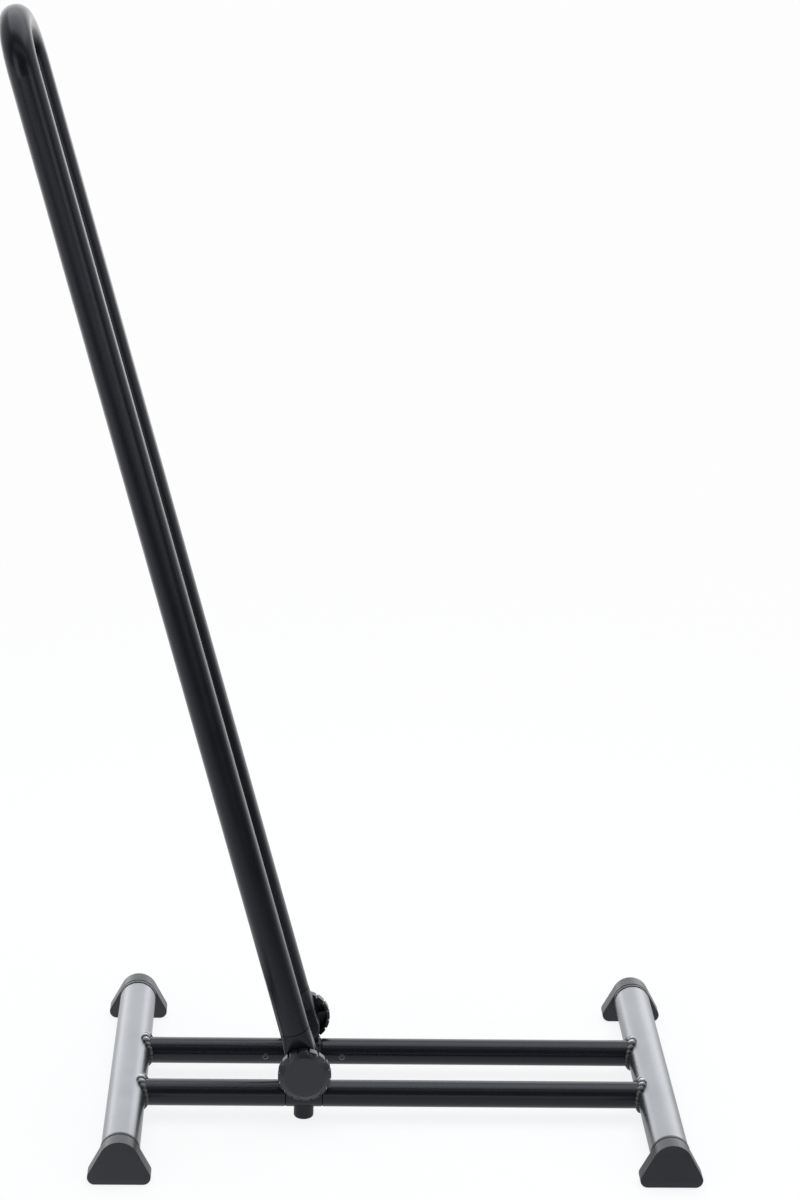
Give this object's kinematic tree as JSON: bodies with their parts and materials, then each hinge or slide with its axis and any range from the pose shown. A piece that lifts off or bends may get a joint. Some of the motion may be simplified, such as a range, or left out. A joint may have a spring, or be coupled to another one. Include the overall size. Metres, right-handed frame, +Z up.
{
  "type": "floor bike rack",
  "caption": "Free-standing floor rack: a bicycle wheel stands between parallel rails and a tall hoop on a knob-clamped pivot, which folds down flat.",
  "frame": {"origin": "on the floor, under the centre of the bounding box", "axes": "+Z up, +X along the rails away from the side the hoop leans to, +Y from the front foot caps to the rear ones"},
  "size_m": [0.5816, 0.32, 0.9361],
  "materials": {
    "tube_coat": "satin black powder coat",
    "bar_coat": "satin silver-grey coat",
    "weld_coat": "satin black powder coat over the weld's ripples",
    "casting_coat": "satin black powder coat, slightly coarser",
    "rivet_coat": "black blind rivet",
    "cap_plastic": "fine-grained black plastic",
    "knob_plastic": "fine-grained black plastic",
    "foot_plastic": "matte black plastic",
    "disc_plastic": "matte dark grey plastic",
    "bolt_steel": "plated steel",
    "washer_steel": "plated steel",
    "nut_steel": "plated steel"
  },
  "bodies": {
    "base": {"left_foot_bar": "bar_coat", "right_foot_bar": "bar_coat", "weld_beads": "weld_coat", "rail_rivets": "rivet_coat", "front_left_rail": "tube_coat", "front_right_rail": "tube_coat", "rear_left_rail": "tube_coat", "rear_right_rail": "tube_coat", "front_left_foot_cap": "cap_plastic", "front_right_foot_cap": "cap_plastic", "rear_left_foot_cap": "cap_plastic", "rear_right_foot_cap": "cap_plastic", "front_pivot_lug": "casting_coat", "front_support_foot": "foot_plastic", "front_friction_discs": "disc_plastic", "rear_pivot_lug": "casting_coat", "rear_support_foot": "foot_plastic", "rear_friction_discs": "disc_plastic"},
    "hoop": {"hoop_tube": "tube_coat", "leg_rivets": "rivet_coat", "front_knuckle": "casting_coat", "front_pivot_bolt": "bolt_steel", "rear_knuckle": "casting_coat", "rear_pivot_bolt": "bolt_steel"},
    "front_washer": {"front_clamp_washer": "washer_steel"},
    "front_knob": {"front_knob": "knob_plastic", "front_knob_nut": "nut_steel"},
    "rear_washer": {"rear_clamp_washer": "washer_steel"},
    "rear_knob": {"rear_knob": "knob_plastic", "rear_knob_nut": "nut_steel"}
  },
  "joints": [
    {"name": "hoop_fold", "type": "hinge", "parent": "base", "child": "hoop", "pos_m": [-0.03496, 0, 0.0465], "axis": [0, 1, 0], "range_deg": [-73, 104.5]},
    {"name": "front_clamp_release", "type": "slide", "parent": "hoop", "child": "front_washer", "axis": [0, -1, 0], "range_m": [0, 0.002]},
    {"name": "front_knob_turn", "type": "hinge", "parent": "front_washer", "child": "front_knob", "pos_m": [-0.03496, -0.062, 0.0465], "axis": [0, -1, 0], "range_deg": [0, 720]},
    {"name": "rear_clamp_release", "type": "slide", "parent": "hoop", "child": "rear_washer", "axis": [0, 1, 0], "range_m": [0, 0.002]},
    {"name": "rear_knob_turn", "type": "hinge", "parent": "rear_washer", "child": "rear_knob", "pos_m": [-0.03496, 0.062, 0.0465], "axis": [0, 1, 0], "range_deg": [0, 720]}
  ],
  "couplings": [
    {"joint": "front_clamp_release", "follows": "front_knob_turn", "m_per_rad": 0.00015915},
    {"joint": "rear_clamp_release", "follows": "rear_knob_turn", "m_per_rad": 0.00015915}
  ]
}
